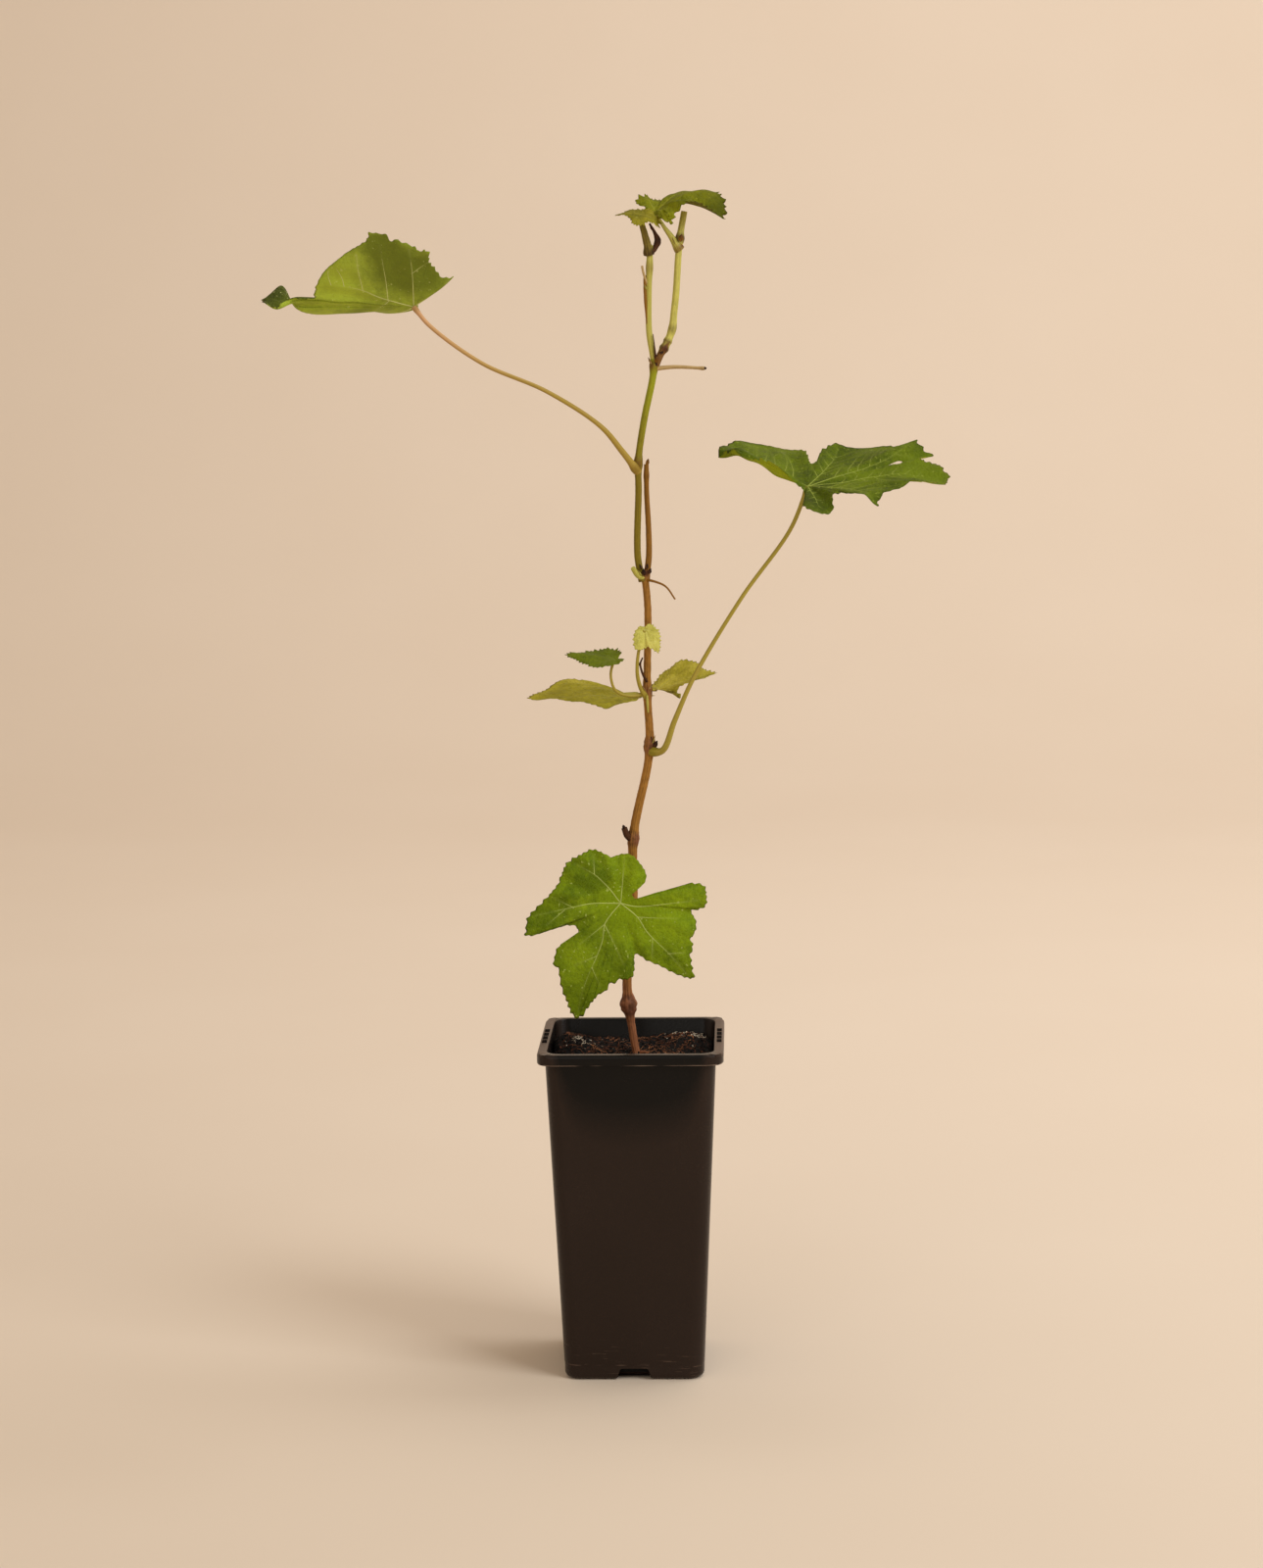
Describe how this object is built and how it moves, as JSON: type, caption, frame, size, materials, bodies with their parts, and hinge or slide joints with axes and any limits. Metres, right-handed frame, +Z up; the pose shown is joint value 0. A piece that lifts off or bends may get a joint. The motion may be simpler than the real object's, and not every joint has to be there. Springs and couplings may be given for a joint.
{
  "type": "grapevine",
  "caption": "Young pruned grapevine with two shoots, lobed leaves on long stalks and dry tendrils, rooted in peat in a tall square tapered nursery pot",
  "frame": {"origin": "middle of the pot's flat underside", "axes": "+Z up the stem; -Y towards the side the lowest leaf hangs on, parallel to a side of the pot; +X to that viewer's right"},
  "size_m": [0.4338, 0.1219, 0.7656],
  "materials": {
    "pot_plastic": "satin",
    "peat": "rough",
    "old_bark": "matte",
    "green_shoot": "satin",
    "leaf_stalk": "satin",
    "dry_remains": "matte",
    "vine_leaf": "satin"
  },
  "bodies": {
    "root": {"pot": "pot_plastic", "soil": "peat", "trunk": "old_bark", "main_shoot": "green_shoot", "side_shoot": "old_bark", "left_shoot": "green_shoot", "right_shoot": "green_shoot", "petiole_front": "leaf_stalk", "petiole_right": "leaf_stalk", "petiole_left": "leaf_stalk", "petiole_top": "leaf_stalk", "petiole_tip": "leaf_stalk", "petiole_young": "leaf_stalk", "petiole_upper_left": "leaf_stalk", "petiole_lower_left": "leaf_stalk", "petiole_lower_right": "leaf_stalk", "pruning_stub": "dry_remains", "cut_petiole": "leaf_stalk", "tendril": "dry_remains", "dry_tendril": "dry_remains", "short_tendril": "dry_remains", "dead_tip": "dry_remains", "leaf_front": "vine_leaf", "leaf_right": "vine_leaf", "leaf_left": "vine_leaf", "leaf_top": "vine_leaf", "leaf_tip": "vine_leaf", "leaf_upper_left": "vine_leaf", "leaf_lower_left": "vine_leaf", "leaf_lower_right": "vine_leaf", "leaf_young": "vine_leaf"}
  },
  "joints": []
}
